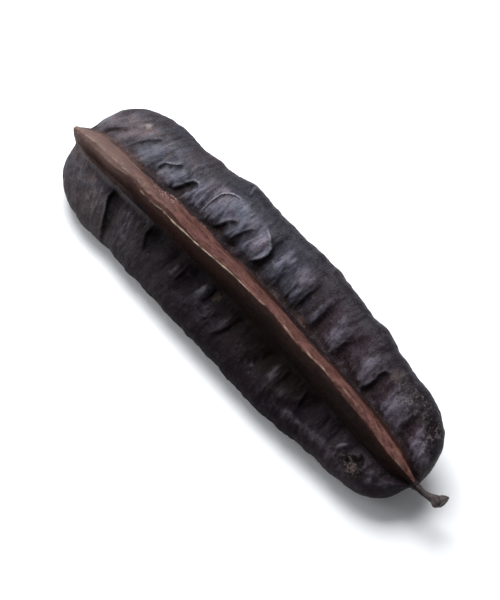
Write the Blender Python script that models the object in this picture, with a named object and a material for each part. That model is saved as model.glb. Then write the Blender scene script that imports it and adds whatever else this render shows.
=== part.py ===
"""A dried aridan pod, the four-winged fruit of a West African tree, lying loose with its cut stalk.

Metres, +Z up. The pod's axis runs along X, with the pointed beak at -X and the stalk at +X. Two wings are
fleshy, thick and puckered by cross creases. The two between them are woody wedges with a sharp wavy
crest. The pod leans on the edge of one fleshy wing and on the crest of the lower woody wing.

All shape values are in millimetres until the vertices are made.
"""

import math
import random
from collections import namedtuple

import bmesh
import bpy
from mathutils import Matrix, Vector, noise

MM = 0.001

# Lengths along the axis, counted from the beak
BEAK_TIP = -0.7
STALK_ROOT = 170.6
BOW = 3.6                   # how far the middle is bowed towards the broad wing

# How it lies
ROLL = math.radians(22.5)
PITCH = math.radians(0.0)
WORN_FLAT = 0.5             # depth rubbed off every low point

# The core between the wings
GUTTER_RADIUS = 7.2         # from the axis to the bottom of a gutter
BEAK_TAPER = 7.0
STALK_TAPER = 6.0
ROOT_RADIUS = 1.5           # radius where the core runs into the stalk

# Thickness of the wings
FLESHY_HALF_THICKNESS = 6.9
FLESHY_SWELL_END = 0.45     # share of the wing's width by which it is fully swollen
FLESHY_EDGE_ROUNDING = 7.5
WOODY_FLANK_HOLLOW = 1.2    # above 1 the flanks are hollow
WOODY_HALF_CREST = 0.7
WOODY_CREST_SQUARENESS = 8
WOODY_END_ROUNDING = 7.0

# Points from a gutter to the edge, as shares of the wing's width
FLESHY_STEPS = (0.07, 0.19, 0.32, 0.46, 0.61, 0.77, 0.92)
WOODY_STEPS = (0.12, 0.3, 0.5, 0.72, 0.9)

# Rings of the loft
BEAK_RINGS = 3
END_RINGS = 13
END_LENGTH = 22.0
MIDDLE_RINGS = 70

Ending = namedtuple("Ending", "inset length fullness")
Wing = namedtuple("Wing", "angle fleshy reach beak stalk sway front_creases back_creases")
Crease = namedtuple("Crease", "station lean depth width outer")

# Reach of each wing from the axis, as (station, reach)
BROAD_REACH = ((0, 23.4), (16, 23.8), (24, 24.6), (30, 25.2), (41, 24.2), (47, 25.1), (53, 25.0), (61, 27.0),
               (68, 27.0), (83, 26.2), (102, 26.9), (116, 25.5), (124, 24.6), (130, 25.3), (136, 23.8),
               (149, 22.1), (158, 22.0), (172, 21.4))
LOW_REACH = ((0, 22.2), (22, 22.3), (30, 23.0), (38, 22.7), (52, 23.5), (70, 24.0), (101, 23.7), (115, 23.8),
             (122, 23.0), (130, 21.4), (142, 19.2), (148, 18.9), (154, 18.2), (162, 18.8), (172, 19.0))
UPPER_CREST_REACH = ((0, 13.5), (30, 16.4), (85, 17.4), (135, 16.4), (172, 14.0))
LOWER_CREST_REACH = ((0, 11.5), (38, 13.7), (85, 13.3), (130, 13.7), (172, 11.5))

# Sideways wander of each wing's edge, as (station, offset)
BROAD_SWAY = ((0, 0.4), (30, -0.3), (60, 0.3), (95, -0.5), (130, 0.4), (172, -0.2))
LOW_SWAY = ((0, -0.3), (35, 0.4), (85, -0.2), (120, 0.5), (172, 0.1))
UPPER_CREST_SWAY = ((0, 0.9), (8, 1.8), (16, 2.2), (27, 2.1), (36, 0.7), (44, 1.4), (51, 1.9), (59, 1.5),
                    (66, 0.9), (74, 0.7), (84, 0.6), (91, 0.4), (98, -0.2), (112, -0.6), (117, -0.3), (120, -0.9),
                    (124, -0.2), (129, -0.4), (133, -0.4), (139, -1.6), (147, -0.9), (157, -0.4), (166, -0.3),
                    (172, 0.0))
LOWER_CREST_SWAY = ((0, 0.0), (22, 0.9), (45, -0.8), (66, 0.9), (90, -0.7), (112, 0.8), (135, -0.9), (172, 0.2))

# Hollows between the puckers on the faces beside the upper crest. Outer is the share of the width they reach.
BROAD_UPPER_CREASES = (
    Crease(10.6, 18.0, 0.8, 1.3, 0.34), Crease(21.0, 17.0, 0.7, 1.5, 0.50), Crease(33.2, 10.0, 0.9, 1.4, 0.46),
    Crease(43.6, 12.5, 1.6, 1.5, 0.36), Crease(56.3, 0.0, 0.7, 1.1, 0.60), Crease(64.2, 13.0, 2.0, 2.0, 0.40),
    Crease(73.2, 5.0, 2.1, 2.2, 0.46), Crease(86.2, 1.0, 2.2, 2.1, 0.66), Crease(94.0, 0.5, 1.1, 1.8, 0.50),
    Crease(105.3, 0.5, 2.3, 2.5, 0.62), Crease(114.9, -0.5, 2.3, 2.4, 0.54), Crease(127.2, 0.0, 2.4, 3.2, 0.46),
    Crease(141.7, 0.5, 2.4, 2.7, 0.54), Crease(158.8, -1.0, 2.0, 2.6, 0.44))
LOW_UPPER_CREASES = (
    Crease(9.5, 11.0, 0.5, 1.2, 0.74), Crease(17.5, 11.0, 0.5, 1.2, 0.84), Crease(29.6, 10.5, 1.7, 1.5, 0.92),
    Crease(51.8, 3.0, 1.7, 2.3, 0.50), Crease(63.0, 0.0, 1.0, 1.5, 0.45), Crease(72.0, 0.5, 1.8, 2.6, 0.52),
    Crease(82.5, -2.0, 1.5, 1.9, 0.55), Crease(94.7, 0.5, 1.3, 2.1, 0.48), Crease(110.0, -3.0, 1.8, 2.9, 0.54),
    Crease(131.2, 0.5, 1.7, 3.1, 0.52), Crease(143.2, 1.0, 1.4, 2.0, 0.48), Crease(153.6, 0.0, 1.0, 1.8, 0.46),
    Crease(163.6, -1.5, 0.9, 1.6, 0.50))
CREASE_FADE = 0.22          # share of the width over which a hollow runs out

# The faces beside the lower crest pucker in the same way
HIDDEN_CREASE_SEED = 11
HIDDEN_CREASE_PITCH = 10.5
HIDDEN_CREASES_FROM = 12.0
HIDDEN_CREASES_TO = 161.6
HIDDEN_CREASE_LEAN = (-2.0, 4.0)
HIDDEN_CREASE_DEPTH = (0.8, 2.0)
HIDDEN_CREASE_WIDTH = (1.6, 2.8)
HIDDEN_CREASE_OUTER = (0.40, 0.62)
HIDDEN_CREASE_SPACING = (0.75, 1.35)

# A swollen blister on the broad wing, and a long groove that sets its margin off
BLISTER_STATION = 71.3
BLISTER_SHARE = 0.42
BLISTER_HALF_LENGTH = 13.8
BLISTER_HALF_WIDTH = 0.30
BLISTER_RISE = 0.8
BLISTER_SHOULDER = (0.8, 1.1)
MARGIN_SHARE = 0.74
MARGIN_GROOVE = 0.35
MARGIN_GROOVE_WIDTH = 0.07

# Unevenness of the dry skin
SKIN_RELIEF = 0.28
SKIN_SCALE = 0.16

# Cut stalk, as (distance along X from the root, shift towards the broad wing, lift, radius)
STALK_POINTS = 14
STALK_RINGS = ((1.4, 0.0, 0.1, 1.25), (2.8, 0.1, 0.2, 0.95), (4.4, 0.2, 0.3, 0.95), (6.2, 0.6, 0.5, 1.15),
               (7.9, 1.3, 0.7, 1.65), (9.3, 1.9, 0.9, 2.15), (10.4, 2.3, 1.0, 2.30), (11.0, 2.5, 1.0, 2.05))
STALK_RIDGES = ((3, 0.08), (5, 0.05))      # number round the stalk, height as a share of its radius


def curve_value(points, station):
    """Height at a station of the smooth curve through (station, value) points."""
    if station <= points[0][0]:
        return points[0][1]
    if station >= points[-1][0]:
        return points[-1][1]
    last = len(points) - 1
    i = next(k for k in range(last) if station <= points[k + 1][0])

    def slope(k):
        before, after = points[max(k - 1, 0)], points[min(k + 1, last)]
        return (after[1] - before[1]) / (after[0] - before[0])

    (x0, v0), (x1, v1) = points[i], points[i + 1]
    span = x1 - x0
    t = (station - x0) / span
    return (v0 * (1 + 2 * t) * (1 - t) ** 2 + slope(i) * span * t * (1 - t) ** 2
            + v1 * t * t * (3 - 2 * t) + slope(i + 1) * span * t * t * (t - 1))


def smooth_step(low, high, value):
    t = min(max((value - low) / (high - low), 0.0), 1.0)
    return t * t * (3 - 2 * t)


def rounded_share(distance, ending):
    """Share of the full reach at a distance into a rounded end."""
    if distance <= 0:
        return 0.0
    if distance >= ending.length:
        return 1.0
    return (1 - (1 - distance / ending.length) ** ending.fullness) ** (1 / ending.fullness)


def rounded_inset(share, ending):
    """Distance into a rounded end at which a share of the full reach is gained."""
    share = min(max(share, 0.0), 1.0)
    return ending.length * (1 - (1 - share ** ending.fullness) ** (1 / ending.fullness))


def core_radius(station):
    beak = 1 - math.exp(-(station - BEAK_TIP) / BEAK_TAPER)
    stalk = 1 - math.exp(-max(STALK_ROOT - station, 0) / STALK_TAPER)
    return max(GUTTER_RADIUS * beak * stalk, min(ROOT_RADIUS, GUTTER_RADIUS * beak))


def full_reach(wing, station):
    return curve_value(wing.reach, station)


def reach(wing, station):
    from_beak = station - wing.beak.inset
    from_stalk = STALK_ROOT - wing.stalk.inset - station
    share = rounded_share(from_beak, wing.beak) * rounded_share(from_stalk, wing.stalk)
    return full_reach(wing, station) * share


def edge_distance(wing, station, out):
    """Roughly how far a point of the wing's middle plane lies inside its outline."""
    share = out / full_reach(wing, station)
    side = reach(wing, station) - out
    beak = station - wing.beak.inset - rounded_inset(share, wing.beak)
    stalk = STALK_ROOT - wing.stalk.inset - station - rounded_inset(share, wing.stalk)
    distances = (side, beak, stalk)
    if min(distances) <= 0:
        return 0.0
    return sum(d ** -2 for d in distances) ** -0.5


def edge_round(distance, radius):
    t = min(distance / radius, 1.0)
    return math.sqrt(1 - (1 - t) ** 2)


def crease_relief(creases, station, share):
    relief = 0.0
    for crease in creases:
        offset = station - crease.station - crease.lean * share
        along = 1 - smooth_step(crease.outer - CREASE_FADE / 2, crease.outer + CREASE_FADE, share)
        relief -= crease.depth * along * math.exp(-(offset / crease.width) ** 2)
    return relief


def blister_relief(station, share):
    along = abs(station - BLISTER_STATION) / BLISTER_HALF_LENGTH
    across = abs(share - BLISTER_SHARE) / BLISTER_HALF_WIDTH
    return BLISTER_RISE * (1 - smooth_step(*BLISTER_SHOULDER, (along ** 3 + across ** 3) ** (1 / 3)))


def fleshy_relief(wing, side, station, share):
    creases = wing.front_creases if side > 0 else wing.back_creases
    relief = crease_relief(creases, station, share)
    relief -= MARGIN_GROOVE * math.exp(-((share - MARGIN_SHARE) / MARGIN_GROOVE_WIDTH) ** 2)
    if wing is BROAD_WING and side > 0:
        relief += blister_relief(station, share)
    return relief


def half_thickness(wing, side, station, share, out, gutter):
    """Distance of a face point from its wing's middle plane."""
    inside = edge_distance(wing, station, out)
    if wing.fleshy:
        swell = smooth_step(0, FLESHY_SWELL_END, share)
        flat = gutter + (FLESHY_HALF_THICKNESS - gutter) * swell
        flat += fleshy_relief(wing, side, station, share)
        return flat * edge_round(inside, FLESHY_EDGE_ROUNDING)
    crest = WOODY_HALF_CREST * min(2 * share, 1) * math.sqrt(1 - share ** WOODY_CREST_SQUARENESS)
    flank = gutter * (1 - share) ** WOODY_FLANK_HOLLOW + crest
    return flank * min(1.0, edge_round(inside, WOODY_END_ROUNDING) + share)


def wing_point(wing, side, station, share, gutter):
    """Point of one section, in the section's plane, at a share of the wing's width."""
    core = core_radius(station)
    tip = max(reach(wing, station), core)
    out = gutter + (tip - gutter) * share
    across = half_thickness(wing, side, station, share, out, gutter) if share < 1 else 0.0
    across = max(across, math.sqrt(max(core ** 2 - out ** 2, 0.0)))
    sway = curve_value(wing.sway, station) * share ** 2 * rounded_share(station, wing.beak)
    across = side * across + sway
    along = Vector((math.cos(wing.angle), math.sin(wing.angle)))
    normal = Vector((-along.y, along.x))
    return along * out + normal * across


def section(station):
    """The closed outline of the pod in the plane at one station, wing after wing."""
    points = []
    core = core_radius(station)
    for k, wing in enumerate(WINGS):
        before = WINGS[k - 1].angle - (math.tau if k == 0 else 0)
        middle = (before + wing.angle) / 2
        points.append(core * Vector((math.cos(middle), math.sin(middle))))
        gutter = core * math.sqrt(0.5)
        steps = FLESHY_STEPS if wing.fleshy else WOODY_STEPS
        points += [wing_point(wing, -1, station, share, gutter) for share in steps]
        points.append(wing_point(wing, 1, station, 1.0, gutter))
        points += [wing_point(wing, 1, station, share, gutter) for share in reversed(steps)]
    return points


def in_place(station, point):
    """Bowed and roughened, still along the axis."""
    share = station / STALK_ROOT
    bow = BOW * 4 * share * (1 - share)
    place = Vector((station, point.x + bow, point.y))
    rough = noise.noise(place * SKIN_SCALE) * SKIN_RELIEF
    radial = Vector((0, point.x, point.y))
    if radial.length > 0:
        place += radial.normalized() * rough
    return place


def hidden_creases(seed):
    """Hollows like the others, one every pucker from beak to stalk."""
    chance = random.Random(seed)
    creases = []
    station = HIDDEN_CREASES_FROM
    while station < HIDDEN_CREASES_TO:
        creases.append(Crease(station, chance.uniform(*HIDDEN_CREASE_LEAN), chance.uniform(*HIDDEN_CREASE_DEPTH),
                              chance.uniform(*HIDDEN_CREASE_WIDTH), chance.uniform(*HIDDEN_CREASE_OUTER)))
        station += HIDDEN_CREASE_PITCH * chance.uniform(*HIDDEN_CREASE_SPACING)
    return tuple(creases)


def stations():
    """Ring places, close together at both blunt ends."""
    first_wing = min(wing.beak.inset for wing in WINGS if wing.fleshy)
    last_wing = STALK_ROOT - min(wing.stalk.inset for wing in WINGS if wing.fleshy)
    beak = [BEAK_TIP + (first_wing - BEAK_TIP) * (i + 1) / (BEAK_RINGS + 1) for i in range(BEAK_RINGS)]
    start = [first_wing + END_LENGTH * (i / END_RINGS) ** 2 for i in range(END_RINGS)]
    low = first_wing + END_LENGTH
    high = last_wing - END_LENGTH
    middle = [low + (high - low) * i / MIDDLE_RINGS for i in range(MIDDLE_RINGS + 1)]
    finish = [last_wing - END_LENGTH * (1 - (i + 1) / END_RINGS) ** 2 for i in range(END_RINGS)]
    return beak + start + middle + finish


def stalk_ring(rise, shift, lift, radius):
    """A slightly ridged ring of the cut stalk."""
    centre = Vector((STALK_ROOT + rise, shift, lift))
    ring = []
    for i in range(STALK_POINTS):
        angle = math.tau * (i + 0.5) / STALK_POINTS
        ridged = radius * (1 + sum(height * math.cos(number * angle + rise) for number, height in STALK_RIDGES))
        ring.append(centre + Vector((0, math.cos(angle), math.sin(angle))) * ridged)
    return ring


BROAD_WING = Wing(math.radians(0), True, BROAD_REACH, Ending(5.2, 24, 2.75), Ending(-1.0, 21, 2.6), BROAD_SWAY,
                  BROAD_UPPER_CREASES, hidden_creases(HIDDEN_CREASE_SEED))
UPPER_CREST = Wing(math.radians(85), False, UPPER_CREST_REACH, Ending(-1.5, 36, 1.5), Ending(-1.0, 46, 1.6),
                   UPPER_CREST_SWAY, (), ())
LOW_WING = Wing(math.radians(180), True, LOW_REACH, Ending(4.7, 25, 2.35), Ending(0.8, 23, 2.2), LOW_SWAY,
                hidden_creases(HIDDEN_CREASE_SEED + 1), LOW_UPPER_CREASES)
LOWER_CREST = Wing(math.radians(270), False, LOWER_CREST_REACH, Ending(-1.5, 30, 1.6), Ending(-1.0, 36, 1.7),
                   LOWER_CREST_SWAY, (), ())
WINGS = (BROAD_WING, UPPER_CREST, LOW_WING, LOWER_CREST)


def loft(mesh):
    """Skin the sections from beak to stalk, then the stalk, into one closed body."""
    rings = []
    for station in stations():
        places = [in_place(station, point) for point in section(station)]
        rings.append([mesh.verts.new(place) for place in places])
    count = len(rings[0])
    for lower, upper in zip(rings, rings[1:]):
        for i in range(count):
            j = (i + 1) % count
            mesh.faces.new((lower[i], lower[j], upper[j], upper[i]))

    tip = mesh.verts.new((BEAK_TIP, 0, 0))
    for i in range(count):
        mesh.faces.new((tip, rings[0][(i + 1) % count], rings[0][i]))

    stalk = [[mesh.verts.new(place) for place in stalk_ring(*values)] for values in STALK_RINGS]
    group = count // STALK_POINTS
    root, neck = rings[-1], stalk[0]
    for k in range(STALK_POINTS):
        here, after = neck[k], neck[(k + 1) % STALK_POINTS]
        edge = [root[(k * group + i) % count] for i in range(group + 1)]
        for i in range(group):
            mesh.faces.new((edge[i], edge[i + 1], here))
        mesh.faces.new((edge[group], after, here))
    for lower, upper in zip(stalk, stalk[1:]):
        for i in range(STALK_POINTS):
            j = (i + 1) % STALK_POINTS
            mesh.faces.new((lower[i], lower[j], upper[j], upper[i]))
    mesh.faces.new(stalk[-1])


def lay_down(mesh):
    """Roll the pod to where it lies, rub the low points flat and centre it on the floor."""
    turn = Matrix.Rotation(PITCH, 4, 'Y') @ Matrix.Rotation(ROLL, 4, 'X')
    bmesh.ops.transform(mesh, matrix=turn, verts=mesh.verts)
    floor = min(vertex.co.z for vertex in mesh.verts) + WORN_FLAT
    everything = mesh.verts[:] + mesh.edges[:] + mesh.faces[:]
    cut = bmesh.ops.bisect_plane(mesh, geom=everything, plane_co=(0, 0, floor), plane_no=(0, 0, -1),
                                 clear_outer=True)
    rims = [item for item in cut["geom_cut"] if isinstance(item, bmesh.types.BMEdge)]
    bmesh.ops.holes_fill(mesh, edges=rims, sides=0)
    low = [min(vertex.co[axis] for vertex in mesh.verts) for axis in range(3)]
    high = [max(vertex.co[axis] for vertex in mesh.verts) for axis in range(3)]
    centre = Vector(((low[0] + high[0]) / 2, (low[1] + high[1]) / 2, floor))
    bmesh.ops.translate(mesh, vec=-centre, verts=mesh.verts)
    bmesh.ops.scale(mesh, vec=(MM, MM, MM), verts=mesh.verts)


def skin_material():
    material = bpy.data.materials.new("dry pod skin")
    material.use_nodes = True
    shader = material.node_tree.nodes["Principled BSDF"]
    shader.inputs["Base Color"].default_value = (0.035, 0.018, 0.020, 1)
    shader.inputs["Roughness"].default_value = 0.45
    return material


def build():
    for item in list(bpy.data.objects):
        bpy.data.objects.remove(item)
    mesh = bmesh.new()
    loft(mesh)
    lay_down(mesh)
    bmesh.ops.triangulate(mesh, faces=mesh.faces, quad_method='SHORT_EDGE')
    bmesh.ops.recalc_face_normals(mesh, faces=mesh.faces)
    data = bpy.data.meshes.new("aridan_pod")
    mesh.to_mesh(data)
    mesh.free()
    data.materials.append(skin_material())
    pod = bpy.data.objects.new("aridan_pod", data)
    group = bpy.data.collections.new("aridan pod")
    bpy.context.scene.collection.children.link(group)
    group.objects.link(pod)


build()
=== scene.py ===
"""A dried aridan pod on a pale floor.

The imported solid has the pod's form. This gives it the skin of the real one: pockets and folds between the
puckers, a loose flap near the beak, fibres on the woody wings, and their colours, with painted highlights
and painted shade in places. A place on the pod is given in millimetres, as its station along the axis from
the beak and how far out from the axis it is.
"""
import math

import bpy
import numpy as np
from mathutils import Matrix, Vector, noise


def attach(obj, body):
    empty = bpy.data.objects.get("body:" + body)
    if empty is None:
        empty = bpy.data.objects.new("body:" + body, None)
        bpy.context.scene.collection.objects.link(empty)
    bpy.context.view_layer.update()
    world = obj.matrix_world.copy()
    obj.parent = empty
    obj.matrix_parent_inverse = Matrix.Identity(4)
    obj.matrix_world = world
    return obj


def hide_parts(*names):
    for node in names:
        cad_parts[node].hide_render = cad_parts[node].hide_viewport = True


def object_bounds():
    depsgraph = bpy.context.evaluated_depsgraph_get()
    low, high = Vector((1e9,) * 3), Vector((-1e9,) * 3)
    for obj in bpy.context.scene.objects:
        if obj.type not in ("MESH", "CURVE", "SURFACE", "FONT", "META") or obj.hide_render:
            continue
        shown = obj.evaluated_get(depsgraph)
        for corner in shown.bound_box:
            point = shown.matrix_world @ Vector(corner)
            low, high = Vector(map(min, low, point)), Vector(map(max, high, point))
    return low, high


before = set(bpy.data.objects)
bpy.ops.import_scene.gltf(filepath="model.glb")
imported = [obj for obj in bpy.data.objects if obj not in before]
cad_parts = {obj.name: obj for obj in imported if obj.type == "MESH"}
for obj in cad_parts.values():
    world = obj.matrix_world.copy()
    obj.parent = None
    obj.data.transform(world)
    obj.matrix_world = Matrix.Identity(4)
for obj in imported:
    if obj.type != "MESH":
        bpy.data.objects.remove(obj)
cad_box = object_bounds()

# The pod grew as one piece: two fleshy wings and two woody ones round a core, with a beak at one end
# and a cut stalk at the other. This is a copy of its solid, divided finely enough to take the wrinkles
# of the dried skin. The end of the cut stalk keeps its sharp edge.
SAME_POINT = 0.00001
QUAD_BEND = math.radians(60)
QUAD_SKEW = math.radians(70)
CUT_END_DEPTH = 0.0003
DIVISIONS = 2

pod = bpy.data.objects.new("pod_skin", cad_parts["aridan_pod"].data.copy())
bpy.context.scene.collection.objects.link(pod)
bpy.ops.object.select_all(action='DESELECT')
pod.select_set(True)
bpy.context.view_layer.objects.active = pod
bpy.ops.object.mode_set(mode='EDIT')
bpy.ops.mesh.select_all(action='SELECT')
bpy.ops.mesh.remove_doubles(threshold=SAME_POINT)
bpy.ops.mesh.tris_convert_to_quads(face_threshold=QUAD_BEND, shape_threshold=QUAD_SKEW)
bpy.ops.object.mode_set(mode='OBJECT')
cut_end = max(vertex.co.x for vertex in pod.data.vertices) - CUT_END_DEPTH
at_cut = [all(pod.data.vertices[index].co.x > cut_end for index in edge.vertices)
          for edge in pod.data.edges]
pod.data.attributes.new("crease_edge", 'FLOAT', 'EDGE').data.foreach_set("value", at_cut)
finer = pod.modifiers.new("finer", 'SUBSURF')
finer.levels = DIVISIONS
finer.render_levels = DIVISIONS
bpy.ops.object.modifier_apply(modifier=finer.name)
pod.data.materials.clear()
pod.data.shade_smooth()

# Where each point of the skin is on the pod. The pod lies rolled on its axis and bowed sideways, and
# the tip of its beak is on the axis. The wings stand at these angles round the core, each in a sector
# of its own.
MILLIMETRES = 1000
ROLL = math.radians(22.5)
BOW = 3.6
BODY_LENGTH = 170.6
BEAK_TIP = -0.7
CORE_RADIUS = 7.2
CORE_TAPER_AT_BEAK = 7.0
CORE_TAPER_AT_STALK = 6.0
ROOT_RADIUS = 1.5
BROAD, UPPER_CREST, LOW, LOWER_CREST = range(4)
WING_ANGLES = {BROAD: 0, UPPER_CREST: 85, LOW: 180, LOWER_CREST: 270}
SECTOR_ENDS = (42.5, 132.5, 225, 315)

count = len(pod.data.vertices)


def read_points(name):
    values = np.empty(count * 3)
    pod.data.vertices.foreach_get(name, values)
    return values.reshape(-1, 3)


place = read_points("co") * MILLIMETRES
normals = read_points("normal")
tip = place[place[:, 0].argmin()].copy()
station = place[:, 0] - tip[0] + BEAK_TIP
sideways = place[:, 1] - tip[1]
upwards = place[:, 2] - tip[2]
along = station / BODY_LENGTH
in_y = math.cos(ROLL) * sideways + math.sin(ROLL) * upwards - BOW * 4 * along * (1 - along)
in_z = math.cos(ROLL) * upwards - math.sin(ROLL) * sideways
bearing = np.degrees(np.arctan2(in_z, in_y)) % 360
wing = np.digitize(bearing, SECTOR_ENDS) % len(WING_ANGLES)
turn = np.radians(list(WING_ANGLES.values()))[wing]
out = in_y * np.cos(turn) + in_z * np.sin(turn)
across = in_z * np.cos(turn) - in_y * np.sin(turn)

stalk = station >= BODY_LENGTH
fleshy = ((wing == BROAD) | (wing == LOW)) & ~stalk
woody = ~fleshy & ~stalk
broad_front = (wing == BROAD) & (across > 0) & ~stalk
low_front = (wing == LOW) & (across < 0) & ~stalk

# Share of the way out from the gutter, which is the corner between two wings, to the wing's edge. The
# edge is the furthest point in each slice of a millimetre.
SLICES = 173
LEAST_REACH = 0.8

core = CORE_RADIUS * (1 - np.exp(-(station - BEAK_TIP) / CORE_TAPER_AT_BEAK))
core *= 1 - np.exp(-np.maximum(BODY_LENGTH - station, 0) / CORE_TAPER_AT_STALK)
gutter = np.maximum(core, ROOT_RADIUS) * math.sqrt(0.5)
slice_of = np.clip(np.rint(station).astype(int), 0, SLICES - 1)
reach = np.empty(count)
for each_wing in WING_ANGLES:
    on_it = wing == each_wing
    furthest = np.full(SLICES, -1.0)
    np.maximum.at(furthest, slice_of[on_it], out[on_it])
    filled = np.flatnonzero(furthest > 0)
    reach[on_it] = np.interp(station[on_it], filled, furthest[filled])
share = np.clip((out - gutter) / np.maximum(reach - gutter, LEAST_REACH), 0, 1)

# How far the rim of the upper crest swings towards the broad wing, by station
CREST_SWAY = ((22, 0), (34, -0.45), (37, -0.15), (42, -0.8), (47, -0.7), (53, 0.15), (60, -0.6), (69, -0.9),
              (81, 0), (87.5, 0.45), (98, 0), (106, 0.5), (111, 0), (118, -0.35), (129, 0.55), (142, 0),
              (150, 0.1), (160, -0.6), (168, 0))

sway = np.interp(station, *zip(*CREST_SWAY)) * np.where(wing == UPPER_CREST, share, 0)
place[:, 1] += sway * math.cos(ROLL)
place[:, 2] += sway * math.sin(ROLL)

# The flesh of the two fleshy wings has dried in wrinkles that run across them. They are deepest by the
# gutters and lean back near the beak. The heights are about how far each kind moves the skin, in
# millimetres.
LEAN_AT_BEAK = 0.75
EDGE_SWELLS = 0.38
EDGE_RIPPLES = 0.10
WRINKLES = 0.34
FINE_WRINKLES = 0.24
ROLLING = 0.35
DIMPLES = 0.20
LUMPS_BY_BEAK = 0.12
LUMPS_BY_STALK = 0.26
LOW_WING_RIDGES = 0.34

lift = np.zeros(count)


def ramp(low, high, value):
    t = np.clip((value - low) / (high - low), 0, 1)
    return t * t * (3 - 2 * t)


def mound(middle, middle_out, half_length, half_width):
    """1 at a place on a wing, falling to 0 round it."""
    return np.exp(-((station - middle) / half_length) ** 2 - ((out - middle_out) / half_width) ** 2)


def lumps(along_axis, in_section, offset, octaves=2, lean=0.0):
    """Noise with these many lumps in a millimetre along the axis and across it."""
    on_axis = (station - lean * out) * along_axis + offset
    points = np.stack([on_axis, in_y * in_section, in_z * in_section], 1)
    return np.array([noise.fractal(point, 1.0, 2.0, octaves) for point in points])


def folded(values):
    """1 along the lines where the noise crosses zero, falling to 0 between them."""
    return 1 - np.clip(2 * np.abs(values), 0, 1)


lean = LEAN_AT_BEAK * (1 - ramp(15, 75, station))
by_gutter = 1 - ramp(0.35, 0.85, share)
by_edge = fleshy * ramp(0.6, 1.0, share)
off_edge = 1 - np.where(broad_front | low_front, 0.75, 0.3) * ramp(0.72, 0.98, share)
lift += EDGE_SWELLS * by_edge * lumps(0.20, 0.03, 17.0)
lift += EDGE_RIPPLES * by_edge * lumps(0.55, 0.06, 19.0)
wrinkles = folded(lumps(0.17, 0.06, 3.1, 3, lean))
fine_wrinkles = folded(lumps(0.50, 0.14, 9.4, 3, lean))
on_flesh = fleshy * ramp(0.0, 0.12, share) * ramp(4, 12, station) * (1 - ramp(163, 170, station)) * off_edge
on_flesh *= 1 - 0.8 * mound(136, 12, 3.5, 6) * broad_front
lift -= WRINKLES * on_flesh * wrinkles * (0.35 + 0.65 * by_gutter)
lift -= FINE_WRINKLES * on_flesh * fine_wrinkles * (0.6 + 0.4 * by_gutter)
lift += ROLLING * on_flesh * lumps(0.12, 0.12, 5.2)
lift += DIMPLES * on_flesh * lumps(0.50, 0.50, 7.7, 3)
lumpy = LUMPS_BY_BEAK + (LUMPS_BY_STALK - LUMPS_BY_BEAK) * ramp(100, 130, station)
lift += lumpy * fleshy * lumps(0.30, 0.30, 8.8)

# Near the beak the low wing has fine ridges that lean back.
ridged = low_front * ramp(0.08, 0.25, share) * off_edge * (1 - ramp(28, 60, station))
lift += LOW_WING_RIDGES * ridged * lumps(0.42, 0.05, 23.0, 2, lean)

# Between its puckers the flesh has sunk into pockets. A fold of skin with a proud lip stands along one
# side of each, and its floor comes up again on the other.
LIP_WIDTH = 0.55
WALL = 0.9
POCKET_SPREAD = 1.6
FADE_POWER = 1.4
FULL_LIP = 0.35
LIP_MARK_REACH = 2
FAR_OFF = 1e3

nearest_fold = np.full(count, FAR_OFF)
side_of_fold = np.zeros(count)
near_fold = np.zeros(count)
pocket_shade = np.zeros(count)


def beside(path, face):
    """How far each point of a face is from a line, on which side, and 1 that falls to 0 at its ends."""
    gap = np.full(count, FAR_OFF)
    side = np.ones(count)
    way = np.zeros(count)
    lengths = [math.dist(a, b) for a, b in zip(path, path[1:])]
    walked = 0.0
    for (x0, y0), (x1, y1), length in zip(path, path[1:], lengths):
        dx = (x1 - x0) / length
        dy = (y1 - y0) / length
        t = np.clip((station - x0) * dx + (out - y0) * dy, 0, length)
        away = np.hypot(station - x0 - t * dx, out - y0 - t * dy)
        nearer = face & (away < gap)
        gap[nearer] = away[nearer]
        side[nearer] = np.sign(dx * (out - y0) - dy * (station - x0))[nearer]
        way[nearer] = (walked + t[nearer]) / sum(lengths)
        walked += length
    return gap, side, 1 - np.abs(2 * way - 1) ** 4


def fold(path, face, drop, run, lip, lip_width=LIP_WIDTH, wall=WALL):
    """A fold with a proud lip along the path, and a pocket on its right that comes up within the run."""
    gap, side, fade = beside(path, face)
    pocket = -drop * np.exp(-(gap / (POCKET_SPREAD * run)) ** FADE_POWER) * ramp(0, wall, gap)
    lift[:] += fade * np.where(side < 0, pocket, 0)
    # Painted shade for the pocket, kept for the material.
    shaded = fade * min(drop, 1) * np.exp(-(gap / run) ** FADE_POWER)
    pocket_shade[:] = np.maximum(pocket_shade, np.where(side < 0, shaded, 0))
    lift[:] += fade * lip * np.exp(-(gap / lip_width) ** 2)
    nearer = gap < nearest_fold
    nearest_fold[nearer] = gap[nearer]
    side_of_fold[nearer] = (side * gap)[nearer]
    marked = fade * min(lip / FULL_LIP, 1) ** 2 * np.clip(LIP_MARK_REACH - gap, 0, 1)
    near_fold[nearer] = marked[nearer]


def groove(path, face, depth, width):
    gap, _, fade = beside(path, face)
    lift[:] -= fade * depth * np.exp(-(gap / width) ** 2)


def swell(face, swellings):
    """Raises each place that is given as its station, out, half length, half width and rise."""
    for *spot, rise in swellings:
        lift[:] += np.where(face, rise * mound(*spot), 0)


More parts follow.
